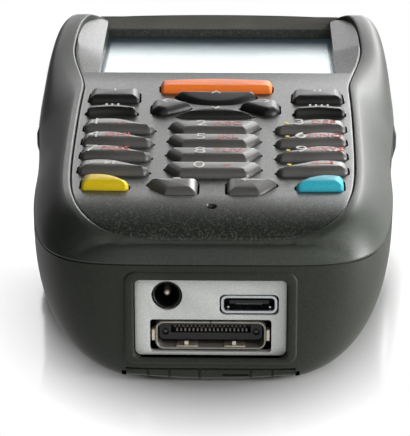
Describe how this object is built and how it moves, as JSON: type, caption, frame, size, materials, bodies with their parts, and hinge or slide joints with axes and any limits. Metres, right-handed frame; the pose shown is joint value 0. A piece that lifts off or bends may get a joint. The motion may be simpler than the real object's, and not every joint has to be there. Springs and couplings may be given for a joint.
{
  "type": "handheld data collector",
  "caption": "Handheld data collector with a recessed landscape display, a keypad, side triggers, a sliding battery door and an end panel with power, serial and docking ports.",
  "frame": {"origin": "bottom centre of the bounding box: the terminal lies on its back on z = 0", "axes": "+X to the user's right, +Y from the connector end to the display end, +Z out of the keypad"},
  "size_m": [0.0806, 0.1524, 0.0363],
  "materials": {
    "housing": "fine moulded texture",
    "housing_back": "fine moulded texture",
    "seal": "matte",
    "face": "fine sparkle paint",
    "window": "clear, polished",
    "module": "satin",
    "sheet_metal": "plain",
    "board": "solder mask",
    "flat_cable": "film",
    "scan_glass": "polished",
    "cell_wrap": "wrapped",
    "contact": "plated",
    "panel": "satin silver",
    "insulator": "moulded",
    "port_shell": "tinned",
    "fastener": "plain",
    "trigger": "matte",
    "key_grey": "satin coat",
    "key_orange": "satin coat",
    "key_yellow": "satin coat",
    "key_cyan": "satin coat"
  },
  "bodies": {
    "case": {"front_housing": "housing", "rear_housing": "housing_back", "housing_gasket": "seal", "face_plate": "face", "display_window": "window", "display_module": "module", "display_tray": "sheet_metal", "keypad_board": "board", "dome_switches": "sheet_metal", "main_board": "board", "board_link": "flat_cable", "side_switches": "sheet_metal", "scan_engine": "module", "scan_window": "scan_glass", "battery_pack": "cell_wrap", "battery_contacts": "contact", "connector_panel": "panel", "power_jack": "insulator", "power_jack_pin": "contact", "serial_shell": "port_shell", "serial_tongue": "insulator", "dock_shell": "port_shell", "dock_insulator": "insulator", "dock_contacts": "contact", "radio_card": "sheet_metal", "backup_cell": "sheet_metal", "speaker": "insulator", "microphone": "sheet_metal", "housing_screws": "fastener", "board_screws": "fastener"},
    "scan_key": {"scan_key": "key_orange"},
    "up_key": {"up_key": "key_grey"},
    "down_key": {"down_key": "key_grey"},
    "left_key": {"left_key": "key_grey"},
    "right_key": {"right_key": "key_grey"},
    "upper_left_key": {"upper_left_key": "key_grey"},
    "upper_right_key": {"upper_right_key": "key_grey"},
    "lower_left_key": {"lower_left_key": "key_grey"},
    "lower_right_key": {"lower_right_key": "key_grey"},
    "yellow_key": {"yellow_key": "key_yellow"},
    "cyan_key": {"cyan_key": "key_cyan"},
    "grey_left_key": {"grey_left_key": "key_grey"},
    "grey_right_key": {"grey_right_key": "key_grey"},
    "key_1": {"key_1": "key_grey"},
    "key_2": {"key_2": "key_grey"},
    "key_3": {"key_3": "key_grey"},
    "key_4": {"key_4": "key_grey"},
    "key_5": {"key_5": "key_grey"},
    "key_6": {"key_6": "key_grey"},
    "key_7": {"key_7": "key_grey"},
    "key_8": {"key_8": "key_grey"},
    "key_9": {"key_9": "key_grey"},
    "tab_key": {"tab_key": "key_grey"},
    "key_0": {"key_0": "key_grey"},
    "enter_key": {"enter_key": "key_grey"},
    "left_trigger": {"left_trigger": "trigger"},
    "right_trigger": {"right_trigger": "trigger"},
    "battery_door": {"battery_door": "housing_back"}
  },
  "joints": [
    {"name": "scan_key_press", "type": "slide", "parent": "case", "child": "scan_key", "axis": [0, 0, -1], "range_m": [0, 0.0008], "stiffness_N_per_m": 1200},
    {"name": "up_key_press", "type": "slide", "parent": "case", "child": "up_key", "axis": [0, 0, -1], "range_m": [0, 0.0008], "stiffness_N_per_m": 1200},
    {"name": "down_key_press", "type": "slide", "parent": "case", "child": "down_key", "axis": [0, 0, -1], "range_m": [0, 0.0008], "stiffness_N_per_m": 1200},
    {"name": "left_key_press", "type": "slide", "parent": "case", "child": "left_key", "axis": [0, 0, -1], "range_m": [0, 0.0008], "stiffness_N_per_m": 1200},
    {"name": "right_key_press", "type": "slide", "parent": "case", "child": "right_key", "axis": [0, 0, -1], "range_m": [0, 0.0008], "stiffness_N_per_m": 1200},
    {"name": "upper_left_key_press", "type": "slide", "parent": "case", "child": "upper_left_key", "axis": [0, 0, -1], "range_m": [0, 0.0008], "stiffness_N_per_m": 1200},
    {"name": "upper_right_key_press", "type": "slide", "parent": "case", "child": "upper_right_key", "axis": [0, 0, -1], "range_m": [0, 0.0008], "stiffness_N_per_m": 1200},
    {"name": "lower_left_key_press", "type": "slide", "parent": "case", "child": "lower_left_key", "axis": [0, 0, -1], "range_m": [0, 0.0008], "stiffness_N_per_m": 1200},
    {"name": "lower_right_key_press", "type": "slide", "parent": "case", "child": "lower_right_key", "axis": [0, 0, -1], "range_m": [0, 0.0008], "stiffness_N_per_m": 1200},
    {"name": "yellow_key_press", "type": "slide", "parent": "case", "child": "yellow_key", "axis": [0, 0, -1], "range_m": [0, 0.0008], "stiffness_N_per_m": 1200},
    {"name": "cyan_key_press", "type": "slide", "parent": "case", "child": "cyan_key", "axis": [0, 0, -1], "range_m": [0, 0.0008], "stiffness_N_per_m": 1200},
    {"name": "grey_left_key_press", "type": "slide", "parent": "case", "child": "grey_left_key", "axis": [0, 0, -1], "range_m": [0, 0.0008], "stiffness_N_per_m": 1200},
    {"name": "grey_right_key_press", "type": "slide", "parent": "case", "child": "grey_right_key", "axis": [0, 0, -1], "range_m": [0, 0.0008], "stiffness_N_per_m": 1200},
    {"name": "key_1_press", "type": "slide", "parent": "case", "child": "key_1", "axis": [0, 0, -1], "range_m": [0, 0.0008], "stiffness_N_per_m": 1200},
    {"name": "key_2_press", "type": "slide", "parent": "case", "child": "key_2", "axis": [0, 0, -1], "range_m": [0, 0.0008], "stiffness_N_per_m": 1200},
    {"name": "key_3_press", "type": "slide", "parent": "case", "child": "key_3", "axis": [0, 0, -1], "range_m": [0, 0.0008], "stiffness_N_per_m": 1200},
    {"name": "key_4_press", "type": "slide", "parent": "case", "child": "key_4", "axis": [0, 0, -1], "range_m": [0, 0.0008], "stiffness_N_per_m": 1200},
    {"name": "key_5_press", "type": "slide", "parent": "case", "child": "key_5", "axis": [0, 0, -1], "range_m": [0, 0.0008], "stiffness_N_per_m": 1200},
    {"name": "key_6_press", "type": "slide", "parent": "case", "child": "key_6", "axis": [0, 0, -1], "range_m": [0, 0.0008], "stiffness_N_per_m": 1200},
    {"name": "key_7_press", "type": "slide", "parent": "case", "child": "key_7", "axis": [0, 0, -1], "range_m": [0, 0.0008], "stiffness_N_per_m": 1200},
    {"name": "key_8_press", "type": "slide", "parent": "case", "child": "key_8", "axis": [0, 0, -1], "range_m": [0, 0.0008], "stiffness_N_per_m": 1200},
    {"name": "key_9_press", "type": "slide", "parent": "case", "child": "key_9", "axis": [0, 0, -1], "range_m": [0, 0.0008], "stiffness_N_per_m": 1200},
    {"name": "tab_key_press", "type": "slide", "parent": "case", "child": "tab_key", "axis": [0, 0, -1], "range_m": [0, 0.0008], "stiffness_N_per_m": 1200},
    {"name": "key_0_press", "type": "slide", "parent": "case", "child": "key_0", "axis": [0, 0, -1], "range_m": [0, 0.0008], "stiffness_N_per_m": 1200},
    {"name": "enter_key_press", "type": "slide", "parent": "case", "child": "enter_key", "axis": [0, 0, -1], "range_m": [0, 0.0008], "stiffness_N_per_m": 1200},
    {"name": "left_trigger_press", "type": "slide", "parent": "case", "child": "left_trigger", "axis": [1, 0, 0], "range_m": [0, 0.0008], "stiffness_N_per_m": 1800},
    {"name": "right_trigger_press", "type": "slide", "parent": "case", "child": "right_trigger", "axis": [-1, 0, 0], "range_m": [0, 0.0008], "stiffness_N_per_m": 1800},
    {"name": "door_slide", "type": "slide", "parent": "case", "child": "battery_door", "axis": [0, -1, 0], "range_m": [0, 0.008]}
  ]
}
